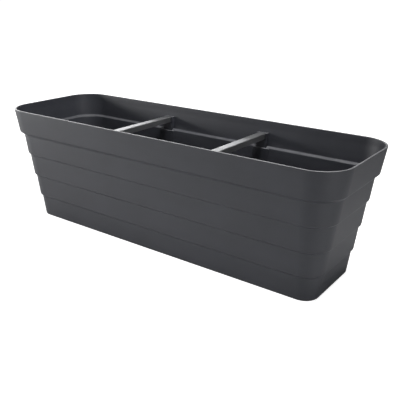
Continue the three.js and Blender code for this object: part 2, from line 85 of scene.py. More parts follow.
def ratio(name, description, default, low=0.0, high=10.0):
    """A plain number that a user can change."""
    return FloatProperty(name=name, description=description, default=default, min=low, max=high)


class PlanterTrough(bpy.types.PropertyGroup):
    """Sizes of the moulded trough."""

    tiers: IntProperty(
        name="Tiers", description="How many stepped bands the wall has", default=5, min=1, max=9
    )
    top_lean: ratio("Top lean", "How far the top tier's wall comes in for each metre down", 0.148)
    lean: ratio("Lean", "How far the other tiers' walls come in for each metre down", 0.12)
    top_step: length("Top step", "Width and drop of the slope under the top tier", 0.0067)
    step: length("Step", "Width and drop of the slopes below it", 0.0031)
    side_share: ratio("Side share", "Inset of the long walls as a share of the end walls' inset", 0.93)
    rim_corner: length("Rim corner", "Corner radius at the rim", 0.061)
    base_corner: length("Base corner", "Corner radius at the foot", 0.029)
    wall: length("Wall", "Thickness of the wall", 0.0028)
    rim_wall: length("Rim wall", "Thickness of the rim", 0.004)
    rim_taper: length("Rim taper", "Height over which the rim thins to the wall", 0.014)
    ledge_rise: length("Ledge rise", "Height of an inside ledge over its outside step", 0.003)
    ledge_drop: length("Ledge drop", "Depth of the top ledge's back edge under its outside step", 0.0002)
    foot_width: length("Foot width", "Width of the foot that runs round the base", 0.014)
    foot_height: length("Foot height", "Height of the recess inside the foot", 0.004)


class PlanterBraces(bpy.types.PropertyGroup):
    """Sizes of the spreader braces and their pockets."""

    width: length("Width", "Width of a brace", 0.017)
    depth: length("Depth", "Depth of a brace's flanges", 0.012)
    metal: length("Metal", "Thickness of the metal", 0.0024)
    corner: length("Corner", "Outside radius of the channel's two corners", 0.0016)
    pocket_width: length("Pocket width", "Width of a moulded pocket", 0.024)
    pocket_face: length("Pocket face", "Distance of a pocket's open face from the middle", 0.1138)
    pocket_wall: length("Pocket wall", "Thickness of a pocket's lip", 0.0028)
    flare_width: length("Flare width", "Width of the oval swelling that a pocket stands on", 0.04)
    flare_depth: length("Flare depth", "How far that swelling carries the ledge further in", 0.005)


class PlanterInside(bpy.types.PropertyGroup):
    """Sizes of the separator and the wicks."""

    plate: length("Plate", "Thickness of the separator plate", 0.0024)
    lip: length("Lip", "Height of the lip round the plate", 0.005)
    rib: length("Rib", "Depth of the ribs under the plate", 0.005)
    fin: length("Fin", "Thickness of ribs and leg fins", 0.0022)
    slot_length: length("Slot length", "Length of a drain slot", 0.015)
    slot_width: length("Slot width", "Width of a drain slot", 0.004)
    felt: length("Felt", "Thickness of the felt wicks", 0.003)


class PlanterFittings(bpy.types.PropertyGroup):
    """Sizes of the filler, the gauge and the drain."""

    tube_wall: length("Tube wall", "Thickness of the filler and gauge tubes", 0.0018)
    filler_radius: length("Filler radius", "Outside radius of the filler tube", 0.015)
    mouth_radius: length("Mouth radius", "Outside radius of the filler's mouth", 0.0185)
    gauge_radius: length("Gauge radius", "Outside radius of the gauge tube", 0.012)
    pin_radius: length("Pin radius", "Radius of the lid's hinge pin", 0.0015)
    drain_radius: length("Drain radius", "Radius of the drain's bore", 0.007)


class PlanterColours(bpy.types.PropertyGroup):
    """Colours of the finishes."""

    trough: colour("Trough", "Anthracite plastic", (0.0305, 0.0322, 0.0395))
    satin: ratio("Satin", "How strongly the trough's surface reflects", 0.5, 0, 1)
    # Besides dust and specks, the trough mixes this colour into its faces that point up as a painted
    # highlight.
    dust: colour("Dust", "Pale bloom that gathers on ledges and edges", (0.3, 0.3, 0.31))
    metal: colour("Metal", "Bright brace metal", (0.42, 0.425, 0.435))
    inner: colour("Inner", "Black recycled plastic", (0.026, 0.027, 0.029))
    felt: colour("Felt", "Needled felt", (0.42, 0.4, 0.36))
    foam: colour("Foam", "White float foam", (0.78, 0.77, 0.72))
    stem: colour("Stem", "White stem plastic", (0.8, 0.79, 0.76))
    signal: colour("Signal", "Red gauge head", (0.55, 0.025, 0.018))
    rubber: colour("Rubber", "Black washer rubber", (0.02, 0.02, 0.021))


class PlanterStage(bpy.types.PropertyGroup):
    """Camera and lights."""

    azimuth: ratio("Azimuth", "Degrees that the camera stands to the right of the front", 36.0, -180, 180)
    elevation: ratio("Elevation", "Degrees that the camera looks down", 20.68, -90, 90)
    roll: ratio("Roll", "Degrees that the camera is turned about its line of sight", 0.556, -20, 20)
    distance: length("Distance", "From the camera to the point it looks at", 1.256, 0.1, 10)
    lens: ratio("Lens", "Focal length in millimetres on a 36 mm sensor", 51.9, 10, 300)
    sky: ratio("Sky", "Strength of the even white light all round", 0.3)
    sky_right: ratio("Sky right", "Share of that light which comes from the far right", 0.35)
    glow: ratio("Glow", "Extra white of the floor, as on an overexposed studio table", 0.9)
    key: ratio("Key", "Power of the soft light at the left front, in watts", 42, 0, 1000)
    back: ratio("Back", "Power of the soft light behind, in watts", 45, 0, 1000)
    fill: ratio("Fill", "Power of the weak light low at the right, in watts", 10, 0, 1000)
    top: ratio("Top", "Power of the soft light overhead, in watts", 7, 0, 1000)
    floor: colour("Floor", "Pale floor", (0.72, 0.72, 0.72))


# ---- shader helpers ----


class Value:
    """A shader socket that Python's arithmetic works on; each operator adds a Math node."""

    def __init__(self, finish, socket):
        self.finish = finish
        self.socket = socket

    def math(self, operation, *operands, clamp=False):
        settings = {"operation": operation, "use_clamp": clamp}
        return self.finish.node("ShaderNodeMath", settings, dict(enumerate(operands)))

    def __add__(self, other):
        return self.math("ADD", self, other)

    def __sub__(self, other):
        return self.math("SUBTRACT", self, other)

    def __rsub__(self, other):
        return self.math("SUBTRACT", other, self)

    def __mul__(self, other):
        return self.math("MULTIPLY", self, other)

    __radd__ = __add__
    __rmul__ = __mul__

    def clamped(self):
        return self.math("ADD", self, 0.0, clamp=True)

    def between(self, low, high):
        """0 below low, 1 above high and a smooth rise between them."""
        settings = {"interpolation_type": "SMOOTHSTEP"}
        return self.finish.node("ShaderNodeMapRange", settings, {0: self, 1: low, 2: high, 3: 0.0, 4: 1.0})


class Nodes:
    """Adds nodes to a material or a world."""

    def __init__(self, owner):
        owner.use_nodes = True
        self.tree = owner.node_tree

    def node(self, kind, settings=None, inputs=None, out=0):
        """Adds any node: its settings come first, then the values or links of its sockets."""
        node = self.tree.nodes.new(kind)
        for key, value in (settings or {}).items():
            setattr(node, key, value)
        for key, value in (inputs or {}).items():
            self.feed(node.inputs[key], value)
        return Value(self, node.outputs[out])

    def feed(self, socket, value):
        """Links a value to a socket, or sets a plain number or colour on it."""
        if isinstance(value, Value):
            self.tree.links.new(value.socket, socket)
        else:
            socket.default_value = value

    def mix(self, factor, first, second):
        inputs = {0: factor, 6: opaque(first), 7: opaque(second)}
        return self.node("ShaderNodeMix", {"data_type": "RGBA"}, inputs, out=2)


class Finish(Nodes):
    """A procedural material, built node by node around its Principled shader."""

    def __init__(self, name):
        self.material = bpy.data.materials.new(name)
        super().__init__(self.material)
        self.colours = bpy.context.scene.planter_colours
        self.shader = self.tree.nodes["Principled BSDF"]
        where = self.node("ShaderNodeTexCoord", out="Object")
        settings = {"operation": "SCALE"}
        self.place = self.node("ShaderNodeVectorMath", settings, {0: where, "Scale": 1 / MM})

    def stretched(self, x, y, z):
        """The place in millimetres with each axis scaled; a pattern is drawn out along the small ones."""
        return self.node("ShaderNodeVectorMath", {"operation": "MULTIPLY"}, {0: self.place, 1: (x, y, z)})

    def noise(self, size, detail=3.0, roughness=0.55, at=None):
        """Noise with lumps about `size` millimetres across."""
        inputs = {"Vector": at or self.place, "Scale": 1 / size, "Detail": detail, "Roughness": roughness}
        return self.node("ShaderNodeTexNoise", None, inputs)

    def cells(self, size, feature="F1"):
        inputs = {"Vector": self.place, "Scale": 1 / size}
        return self.node("ShaderNodeTexVoronoi", {"feature": feature}, inputs)

    def facing_up(self):
        """1 on surfaces that face straight up and 0 on walls and undersides."""
        normal = self.node("ShaderNodeNewGeometry", out="Normal")
        return self.node("ShaderNodeSeparateXYZ", None, {0: normal}, out="Z").clamped()

    def bump(self, height, depth, strength=1.0, under=None):
        inputs = {"Height": height, "Distance": depth * MM, "Strength": strength}
        if under is not None:
            inputs["Normal"] = under
        return self.node("ShaderNodeBump", None, inputs)

    def finished(self, **sockets):
        """Sets the shader's sockets, named with underscores for spaces, and hands over the material."""
        for key, value in sockets.items():
            self.feed(self.shader.inputs[key.replace("_", " ")], value)
        return self.material


def toned(tint, share):
    """A lighter or darker version of a colour."""
    return tuple(min(c * share, 1) for c in tint)


def opaque(value):
    """A colour with an alpha of 1; a link is passed on."""
    return value if isinstance(value, Value) else (*value[:3], 1.0)


# ---- finishes ----


def tier_levels():
    """[inset, height] of the trough's outer face from the rim down, in metres."""
    sizes = bpy.context.scene.planter_trough
    height = TROUGH_HIGH.z
    levels, inset, top = [(0.0, height)], 0.0, height
    for tier in range(1, sizes.tiers + 1):
        bottom = height * (1 - tier / sizes.tiers)
        lean = sizes.top_lean if tier == 1 else sizes.lean
        step = sizes.top_step if tier == 1 else sizes.step
        inset += (top - bottom) * lean
        levels.append((inset, bottom))
        if tier < sizes.tiers:
            inset += step
            top = bottom - step
            levels.append((inset, top))
    return levels


def trough_plastic():
    """Satin anthracite plastic with a fine mould grain, flow clouds, a little bloom on ledges and a painted
    highlight on faces that point up.
    """
    finish = Finish("trough_plastic")
    clouds = finish.noise(90, 4, 0.5)
    flow = finish.noise(22, 3, 0.6, finish.stretched(0.25, 0.25, 1.0))
    grain = finish.noise(0.55, 2, 0.6)
    pebble = finish.cells(1.15, "SMOOTH_F1")
    specks = finish.noise(2.4, 2, 0.5).between(0.68, 0.78)
    bloom = finish.facing_up().between(0.25, 0.8) * finish.noise(14, 4, 0.65).between(0.3, 0.75)
    dark = toned(finish.colours.trough, 0.9)
    light = toned(finish.colours.trough, 1.12)
    base = finish.mix(clouds.between(0.3, 0.7) * 0.6 + flow.between(0.35, 0.7) * 0.4, dark, light)
    # Painted highlight: faces that point up, chiefly the rim's top, get 22% of the dust colour to stand in
    # for the light they catch; the same mask also lowers their roughness.
    wear_and_highlight = finish.facing_up().between(0.72, 0.98)
    base = finish.mix(bloom * 0.1 + specks * 0.04 + wear_and_highlight * 0.22, base, finish.colours.dust)
    roughness = 0.4 + clouds * 0.1 + flow * 0.06 + bloom * 0.1 - wear_and_highlight * 0.16
    relief = finish.bump(pebble * 0.6 + grain * 0.4, 0.05, 0.35)
    relief = finish.bump(flow, 0.25, 0.1, relief)
    return finish.finished(
        Base_Color=base, Roughness=roughness, Normal=relief, IOR=1.49,
        Specular_IOR_Level=finish.colours.satin,
    )


def brace_metal():
    """Bright metal, lightly brushed along its length."""
    finish = Finish("brace_metal")
    brushing = finish.noise(0.5, 3, 0.7, finish.stretched(1.0, 0.02, 1.0))
    broad = finish.noise(7, 2, 0.5, finish.stretched(1.0, 0.12, 1.0))
    smudge = finish.noise(26, 4, 0.6).between(0.5, 0.75)
    dull = toned(finish.colours.metal, 0.86)
    base = finish.mix(brushing.between(0.35, 0.7) * 0.5 + smudge * 0.3, finish.colours.metal, dull)
    roughness = 0.34 + brushing * 0.12 + broad * 0.06 + smudge * 0.08
    relief = finish.bump(brushing, 0.03, 0.3)
    return finish.finished(Base_Color=base, Metallic=1.0, Roughness=roughness, Normal=relief)


def inner_plastic():
    """Black recycled plastic: matte, with pale specks and weld clouds."""
    finish = Finish("inner_plastic")
    clouds = finish.noise(30, 4, 0.6)
    specks = finish.noise(1.6, 1, 0.5).between(0.7, 0.76)
    dust = finish.facing_up().between(0.3, 0.9) * finish.noise(9, 4, 0.7).between(0.4, 0.8)
    light = toned(finish.colours.inner, 1.5)
    base = finish.mix(clouds.between(0.35, 0.7), finish.colours.inner, light)
    base = finish.mix(specks * 0.25 + dust * 0.06, base, finish.colours.dust)
    relief = finish.bump(finish.noise(0.8, 3, 0.6), 0.06, 0.4)
    return finish.finished(Base_Color=base, Roughness=0.46 + clouds * 0.18, Normal=relief)


def felt():
    """Needled grey felt: matted fibres, flecks and needle dimples."""
    finish = Finish("felt")
    along = finish.noise(0.7, 4, 0.7, finish.stretched(0.25, 1.0, 1.0))
    across = finish.noise(0.7, 4, 0.7, finish.stretched(1.0, 0.22, 1.0))
    clumps = finish.noise(5, 3, 0.6)
    dimples = finish.cells(1.9).between(0.0, 0.4)
    flecks = finish.noise(1.1, 2, 0.6, finish.stretched(0.4, 1.0, 1.0)).between(0.64, 0.72)
    dark = toned(finish.colours.felt, 0.55)
    fibres = (along + across) * 0.5
    base = finish.mix(fibres.between(0.35, 0.6) * 0.7 + clumps * 0.3, dark, finish.colours.felt)
    base = finish.mix(flecks * 0.7, base, toned(finish.colours.felt, 0.3))
    relief = finish.bump(fibres * 0.7 + dimples * 0.3, 0.5, 0.8)
    return finish.finished(
        Base_Color=base, Roughness=0.95, Normal=relief, Sheen_Weight=0.4, Sheen_Roughness=0.6
    )


def clear_plastic():
    """Clear moulded cap with faint flow lines and handling haze."""
    finish = Finish("clear_plastic")
    haze = finish.noise(6, 3, 0.6).between(0.45, 0.8)
    relief = finish.bump(finish.noise(8, 2, 0.5), 0.08, 0.3)
    return finish.finished(
        Base_Color=(0.93, 0.96, 0.965, 1), Roughness=0.05 + haze * 0.12, Normal=relief,
        IOR=1.49, Transmission_Weight=1.0,
    )


def float_foam():
    """White closed-cell foam with fine cells."""
    finish = Finish("float_foam")
    beads = finish.cells(1.5)
    tone = toned(finish.colours.foam, 0.82)
    base = finish.mix(beads.between(0.2, 0.6), finish.colours.foam, tone)
    relief = finish.bump(1 - beads, 0.25, 0.6)
    return finish.finished(Base_Color=base, Roughness=0.72 + beads * 0.15, Normal=relief)


def gloss_plastic(name, tint):
    """Smooth moulded plastic with a faint orange-peel and worn patches."""
    finish = Finish(name)
    # Here the mask is only worn patches spread at random, darker and rougher; nothing is painted as light.
    wear_and_highlight = finish.noise(5, 3, 0.6).between(0.45, 0.75)
    base = finish.mix(wear_and_highlight * 0.35, tint, toned(tint, 0.82))
    relief = finish.bump(finish.noise(1.6, 2, 0.5), 0.04, 0.3)
    return finish.finished(Base_Color=base, Roughness=0.22 + wear_and_highlight * 0.18, Normal=relief)


def pin_metal():
    """Drawn steel wire with fine lines along it."""
    finish = Finish("pin_metal")
    lines = finish.noise(0.3, 3, 0.7, finish.stretched(0.03, 1.0, 1.0))
    spots = finish.noise(1.5, 2, 0.6).between(0.6, 0.75)
    base = finish.mix(spots * 0.5 + lines * 0.2, (0.62, 0.62, 0.63), (0.32, 0.3, 0.28))
    relief = finish.bump(lines, 0.02, 0.4)
    return finish.finished(Base_Color=base, Metallic=1.0, Roughness=0.28 + lines * 0.15, Normal=relief)


def washer_rubber():
    """Soft black rubber with a dusty bloom."""
    finish = Finish("washer_rubber")
    bloom = finish.noise(2.5, 4, 0.7).between(0.4, 0.75)
    base = finish.mix(bloom * 0.12, finish.colours.rubber, finish.colours.dust)
    relief = finish.bump(finish.noise(0.5, 3, 0.6), 0.04, 0.5)
    return finish.finished(Base_Color=base, Roughness=0.68 + bloom * 0.15, Normal=relief)


MATERIALS = {}


def make_materials():
    """One material for each of the record's slots."""
    colours = bpy.context.scene.planter_colours
    MATERIALS.update(
        trough_plastic=trough_plastic(),
        brace_metal=brace_metal(),
        inner_plastic=inner_plastic(),
        felt=felt(),
        clear_plastic=clear_plastic(),
        float_foam=float_foam(),
        stem_plastic=gloss_plastic("stem_plastic", tuple(colours.stem)),
        signal_red=gloss_plastic("signal_red", tuple(colours.signal)),
        pin_metal=pin_metal(),
        washer_rubber=washer_rubber(),
    )


# ---- mesh helpers ----


def datablock(name, mesh):
    """Turns a bmesh into a mesh datablock."""
    data = bpy.data.meshes.new(name)
    mesh.to_mesh(data)
    mesh.free()
    return data


def placed(name, data):
    """A new object in the scene."""
    thing = bpy.data.objects.new(name, data)
    bpy.context.scene.collection.objects.link(thing)
    return thing


def worked_out(thing):
    """The mesh that an object's curve or modifiers make."""
    bpy.context.view_layer.update()
    shape = thing.evaluated_get(bpy.context.evaluated_depsgraph_get())
    mesh = bmesh.new()
    mesh.from_mesh(bpy.data.meshes.new_from_object(shape))
    return mesh


def towards(point, other, reach):
    """The point moved towards another one, at most to just short of the middle between them."""
    gap = math.dist(point, other)
    share = min(reach / gap, 0.48) if gap else 0
    return tuple(p + (q - p) * share for p, q in zip(point, other))


def rounded(points, reach, steps=4, closed=True):
    """A path with each corner eased into a bend; `reach` is one length or one for each point."""
    reaches = reach if isinstance(reach, (list, tuple)) else [reach] * len(points)
    path = []
    for i, (point, near) in enumerate(zip(points, reaches)):
        if near == 0 or (not closed and i in (0, len(points) - 1)):
            path.append(tuple(point))
            continue
        start = towards(point, points[i - 1], near)
        end = towards(point, points[(i + 1) % len(points)], near)
        for k in range(steps + 1):
            t = k / steps
            weights = ((1 - t) ** 2, 2 * t * (1 - t), t * t)
            path.append(tuple(sum(w * c for w, c in zip(weights, axis)) for axis in zip(start, point, end)))
    return path


def loft(rings):
    """A closed mesh through rings of points."""
    mesh = bmesh.new()
    rows = [[mesh.verts.new(point) for point in ring] for ring in rings]
    for low, high in zip(rows, rows[1:]):
        for i in range(len(low)):
            j = (i + 1) % len(low)
            mesh.faces.new((low[i], low[j], high[j], high[i]))
    mesh.faces.new(rows[0][::-1])
    mesh.faces.new(rows[-1])
    bmesh.ops.recalc_face_normals(mesh, faces=mesh.faces)
    return mesh


def turn(profile, centre, axis="z", steps=64):
    """A body turned about an axis through `centre`, from (radius, distance along the axis) points.

    A profile that starts and ends on the axis is closed by it, and any other runs back into itself.
    """
    mesh = bmesh.new()
    rows = []
    for radius, along in profile:
        count = 1 if radius < 1e-7 else steps
        row = []
        for k in range(count):
            angle = 2 * math.pi * k / steps
            a, b = radius * math.cos(angle), radius * math.sin(angle)
            local = Vector((a, b, along)) if axis == "z" else Vector((along, a, b))
            row.append(mesh.verts.new(local + Vector(centre)))
        rows.append(row)
    pairs = list(zip(rows, rows[1:]))
    if len(rows[0]) > 1:
        pairs.append((rows[-1], rows[0]))
    for low, high in pairs:
        for k in range(steps):
            n = (k + 1) % steps
            if len(low) == 1 and len(high) == 1:
                continue
            if len(low) == 1:
                mesh.faces.new((low[0], high[k], high[n]))
            elif len(high) == 1:
                mesh.faces.new((low[k], low[n], high[0]))
            else:
                mesh.faces.new((low[k], low[n], high[n], high[k]))
    bmesh.ops.recalc_face_normals(mesh, faces=mesh.faces)
    return mesh


def rod(radius, low, high, centre, ease=0, bends=1, axis="z", steps=64):
    """A round rod along its axis with both ends eased."""
    profile = [(0, low), (radius, low), (radius, high), (0, high)]
    return turn(rounded(profile, [0, ease, ease, 0], bends, closed=False), centre, axis, steps)


def slab(outlines, start, end, axis="z", edge=0.0004):
    """A flat piece with eased edges. The first outline is its edge, and the others are holes through it.

    Its outlines are drawn in (x, y) and it runs along z, or in (y, z) and runs along x for axis x, or in
    (x, z) and runs along y for axis y.
    """
    curve = bpy.data.curves.new("slab", "CURVE")
    curve.dimensions = "2D"
    curve.fill_mode = "BOTH"
    curve.extrude = (end - start) / 2 - edge
    curve.bevel_depth = edge
    curve.bevel_resolution = 1
    curve.offset = -edge
    for outline in outlines:
        spline = curve.splines.new("POLY")
        spline.points.add(len(outline) - 1)
        for point, (u, v) in zip(spline.points, outline):
            point.co = (u, v, 0, 1)
        spline.use_cyclic_u = True
    thing = placed("slab", curve)
    mesh = worked_out(thing)
    bpy.data.objects.remove(thing)
    bmesh.ops.remove_doubles(mesh, verts=mesh.verts, dist=1e-6)
    middle = (start + end) / 2
    places = {
        "z": lambda c: Vector((c.x, c.y, c.z + middle)),
        "x": lambda c: Vector((c.z + middle, c.x, c.y)),
        "y": lambda c: Vector((c.x, middle - c.z, c.y)),
    }
    for vert in mesh.verts:
        vert.co = places[axis](vert.co)
    bmesh.ops.recalc_face_normals(mesh, faces=mesh.faces)
    return mesh


def rectangle(left, right, low, high):
    return [(left, low), (right, low), (right, high), (left, high)]


def arc(x, y, radius, start, end, steps):
    """Points along an arc between two angles, both ends included."""
    angles = [start + (end - start) * k / steps for k in range(steps + 1)]
    return [(x + radius * math.cos(angle), y + radius * math.sin(angle)) for angle in angles]


def circle(x, y, radius, steps=48):
    return arc(x, y, radius, 0, 2 * math.pi, steps)[:-1]


def stadium(x, y, long, wide, steps=8):
    """The outline of a slot with round ends, along x."""
    reach, half_turn = (long - wide) / 2, math.pi / 2
    right = arc(x + reach, y, wide / 2, -half_turn, half_turn, steps)
    return right + arc(x - reach, y, wide / 2, half_turn, 3 * half_turn, steps)


def bar(low, high, edge=0.0004, corner=0.0, axis="z"):
    """A box between two corners with eased edges and, if asked, rounded corners across its axis."""
    u, v, w = (0, 1, 2) if axis == "z" else (0, 2, 1)
    outline = rectangle(low[u], high[u], low[v], high[v])
    if corner:
        outline = rounded(outline, corner, 5)
    return slab([outline], low[w], high[w], axis, edge)


def carve(mesh, cutters):
    """Cuts other meshes out of a mesh."""
    things = [placed("carve", datablock("carve", part)) for part in (mesh, *cutters)]
    for cutter in things[1:]:
        modifier = things[0].modifiers.new("cut", "BOOLEAN")
        modifier.operation = "DIFFERENCE"
        modifier.solver = "EXACT"
        modifier.object = cutter
    result = worked_out(things[0])
    for thing in things:
        bpy.data.objects.remove(thing)
    return result


def together(*meshes):
    """One mesh that holds all of these."""
    whole = bmesh.new()
    for mesh in meshes:
        data = datablock("part", mesh)
        whole.from_mesh(data)
        bpy.data.meshes.remove(data)
    return whole


def mirrored(mesh):
    """The mesh mirrored from right to left."""
    bmesh.ops.scale(mesh, vec=(-1, 1, 1), verts=mesh.verts)
    bmesh.ops.reverse_faces(mesh, faces=mesh.faces)
    return mesh


def piece(name, mesh, body, slot, *nodes, sharp=32):
    """Turns a mesh into a shown object that rides on a body, has a slot's finish and stands for CAD nodes."""
    data = datablock(name, mesh)
    data.shade_smooth()
    data.set_sharp_from_angle(angle=math.radians(sharp))
    thing = placed(name, data)
    data.materials.append(MATERIALS[slot])
    evened = thing.modifiers.new("even_normals", "WEIGHTED_NORMAL")
    evened.keep_sharp = True
    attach(thing, body)
    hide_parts(*nodes)
    return thing


# ---- trough ----

CORNER_STEPS = 20
BARE_EDGE = 0.00001  # of a cutting box, which needs no easing
PLATE_LOW = 0.054  # underside of the separator plate
FOOT_BAR_PLACES = (-0.24, -0.12, 0, 0.12, 0.24)
FOOT_BAR_HALF = 0.005
BOSS_RADIUS, BOSS_DEPTH = 0.011, 0.0085
HOOK_THICKNESS, HOOK_INSET = 0.0027, 0.002  # of the tab at each end of a brace
OVERFLOW_PLACES, OVERFLOW_HEIGHT, OVERFLOW_RADIUS = (-0.034, 0.034), 0.04, 0.004


def inset_at(z):
    """How far in the trough's outer face is at a height."""
    levels = tier_levels()
    for (above, top), (inset, low) in zip(levels, levels[1:]):
        if z >= low:
            return inset + (above - inset) * (z - low) / (top - low)
    return levels[-1][0]


def outline(inset, z, extra=0.0, steps=CORNER_STEPS):
    """The trough's outline at a height, brought in by `extra` all round."""
    sizes = bpy.context.scene.planter_trough
    half_x = TROUGH_HIGH.x - inset - extra
    half_y = TROUGH_HIGH.y - inset * sizes.side_share - extra
    radius = sizes.base_corner + (sizes.rim_corner - sizes.base_corner) * z / TROUGH_HIGH.z - extra
    points, quarter = [], math.pi / 2
    for k, (side_x, side_y) in enumerate(((1, 1), (-1, 1), (-1, -1), (1, -1))):
        x, y = side_x * (half_x - radius), side_y * (half_y - radius)
        points += arc(x, y, radius, k * quarter, (k + 1) * quarter, steps)
    return points


def trough_wall():
    """The stepped shell: foot, outer face, rim, inner face and floor."""
    sizes = bpy.context.scene.planter_trough
    levels = tier_levels()
    base = levels[-1][0]
    height = TROUGH_HIGH.z
    floor = sizes.foot_height + sizes.wall
    taper = height - sizes.rim_taper
    path = [((base, sizes.foot_width, sizes.foot_height), 0), ((base, sizes.foot_width, 0), 0.0006)]
    path.append(((base, 0, 0), 0.0022))
    path += [((inset, 0, z), 0.0013) for inset, z in reversed(levels[1:-1])]
    path += [((0, 0, height), 0.0011), ((0, sizes.rim_wall, height), 0.0011)]
    path.append(((inset_at(taper), sizes.wall, taper), 0.004))
    path.append(((levels[1][0], sizes.wall, levels[1][1] - sizes.ledge_drop), 0.0012))
    path += [((inset, sizes.wall, z + sizes.ledge_rise), 0.0012) for inset, z in levels[2:-1]]
    path.append(((base - sizes.lean * floor, sizes.wall, floor), 0.004))
    path.append(((base - sizes.lean * floor, sizes.wall + 0.012, floor), 0))
    points, reaches = [list(column) for column in zip(*path)]
    rings = []
    for inset, extra, z in rounded(points, reaches, 4, closed=False):
        rings.append([(x, y, z) for x, y in outline(inset, z, extra)])
    return loft(rings)


def wall_middle(z):
    """Distance of the middle of a long wall's thickness from the trough's middle, on its upper tiers."""
    sizes = bpy.context.scene.planter_trough
    return TROUGH_HIGH.y - inset_at(z - sizes.ledge_rise / 2) * sizes.side_share - sizes.wall / 2


def ledge_top():
    """Height of the inside edge of the top ledge."""
    return tier_levels()[2][1] + bpy.context.scene.planter_trough.ledge_rise


def pocket(x, side):
    """A moulded pocket high on a long wall, open at the top and inwards, with a slot for the hook."""
    sizes = bpy.context.scene.planter_braces
    top = brace_top()
    half = sizes.pocket_width / 2
    throat = sizes.width / 2 + CLEAR
    bottom = top - sizes.depth - CLEAR
    foot = ledge_top() - 0.001
    shoulder = tier_levels()[1][1]
    face = sizes.pocket_face
    hook = face + sizes.pocket_wall
    back = [(wall_middle(z), z) for z in (foot, shoulder, top)]
    profile = [(side * y, z) for y, z in ((face, top), (face, foot), *back)]
    body = slab([profile], x - half, x + half, "x", 0.0005)

    def across(near, far):
        return (near, far) if side > 0 else (-far, -near)

    near, far = across(face - 0.01, wall_middle(top) - 0.0048)
    mouth = bar((x - throat, near, bottom), (x + throat, far, top + 0.01), BARE_EDGE)
    near, far = across(hook, hook + HOOK_THICKNESS + 2 * CLEAR)
    half = throat - HOOK_INSET
    slot = bar((x - half, near, bottom - 0.0085), (x + half, far, top + 0.01), BARE_EDGE)
    return carve(body, [mouth, slot])


def flare(x, side, steps=24):
    """The oval swelling under a pocket; its upright face sinks into the leaning wall on the way down."""
    sizes = bpy.context.scene.planter_braces
    trough = bpy.context.scene.planter_trough
    wall = TROUGH_HIGH.y - tier_levels()[2][0] * trough.side_share - trough.wall
    top, deep = ledge_top(), sizes.flare_depth
    low = tier_levels()[3][1] + trough.ledge_rise / 2
    rings = []
    for reach, z in rounded([(deep * 0.1, top), (deep, top), (deep, low)], (0, 0.0016, 0), 6, closed=False):
        along = reach * sizes.flare_width / 2 / deep
        back = wall_middle(z)
        ring = [(x + end * along, side * back, z) for end in (-1.02, 1.02)]
        for k in range(steps + 1):
            angle = math.pi * k / steps
            y = min(wall - reach * math.sin(angle), back)
            ring.append((x + along * math.cos(angle), side * y, z))
        rings.append(ring)
    return loft(rings)


def brace_top():
    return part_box("brace_left")[1].z


def brace_places():
    """The middle of each brace along the trough."""
    return [sum(corner.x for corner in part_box(node)) / 2 for node in ("brace_left", "brace_right")]


class PLANTER_OT_trough(bpy.types.Operator):
    """Build the stepped trough with its pockets, foot bars, drain boss and overflow holes"""

    bl_idname = "planter.trough"
    bl_label = "Trough"

    def execute(self, context):
        sizes = context.scene.planter_trough
        fittings = context.scene.planter_fittings
        end = drain_face()
        centre = (0, 0, drain_height())
        bore = fittings.drain_radius
        drills = [(bore + 0.0015, centre, 64)]
        drills += [(OVERFLOW_RADIUS, (0, y, OVERFLOW_HEIGHT), 32) for y in OVERFLOW_PLACES]
        near, far = end - 0.01, end + 0.03
        cutters = [rod(radius, near, far, place, axis="x", steps=steps) for radius, place, steps in drills]
        wall = carve(trough_wall(), cutters)
        deep = end + BOSS_DEPTH
        sleeve = [(bore, end), (BOSS_RADIUS, end), (BOSS_RADIUS, deep), (bore, deep)]
        boss = turn(rounded(sleeve, 0.0008, 3), centre, "x")
        reach = TROUGH_HIGH.y - tier_levels()[-1][0] * sizes.side_share - sizes.foot_width + 0.001
        half, top = FOOT_BAR_HALF, sizes.foot_height + 0.001
        bars = [bar((x - half, -reach, 0), (x + half, reach, top), 0.0006) for x in FOOT_BAR_PLACES]
        pockets = [make(x, side) for make in (pocket, flare) for x in brace_places() for side in (-1, 1)]
        piece("trough_body", together(wall, boss, *bars, *pockets), "planter", "trough_plastic", "trough")
        return {"FINISHED"}


# ---- braces ----

STIFFENER_PLACES = (-0.06, 0, 0.06)  # of the thin walls inside a channel


class PLANTER_OT_braces(bpy.types.Operator):
    """Build the two metal spreader braces with their hooked ends"""

    bl_idname = "planter.braces"
    bl_label = "Braces"

    def execute(self, context):
        sizes = context.scene.planter_braces
        for x, side_name in zip(brace_places(), ("left", "right")):
            node = "brace_" + side_name
            low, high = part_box(node)
            half, metal = sizes.width / 2, sizes.metal
            top, bottom = high.z, high.z - sizes.depth
            inner = half - metal
            section = [
                (-half, bottom), (-inner, bottom), (-inner, top - metal), (inner, top - metal),
                (inner, bottom), (half, bottom), (half, top), (-half, top),
            ]
            reaches = [0.0005, 0.0005, 0.0008, 0.0008, 0.0005, 0.0005, sizes.corner, sizes.corner]
            path = rounded(section, reaches, 5)
            eased = [(v[0] * 0.985, v[1]) for v in path]
            ends = [(low.y, eased), (low.y + 0.0006, path), (high.y - 0.0006, path), (high.y, eased)]
            parts = [loft([[(x + u, y, v) for u, v in ring] for y, ring in ends])]
            tab = half - HOOK_INSET
            for side in (-1, 1):
                near, far = sorted((side * high.y, side * (high.y - HOOK_THICKNESS)))
                parts.append(bar((x - tab, near, low.z), (x + tab, far, top - 0.001), 0.0004, 0.003, "y"))
            reach = inner + 0.0002
            for y in STIFFENER_PLACES:
                corner = (x - reach, y - 0.001, bottom + 0.0015)
                parts.append(bar(corner, (x + reach, y + 0.001, top - 0.001), 0.0003, 0, "y"))
            body = side_name + "_brace"
            piece(node + "_channel", together(*parts), body, "brace_metal", node, sharp=50)
        return {"FINISHED"}


# ---- separator ----

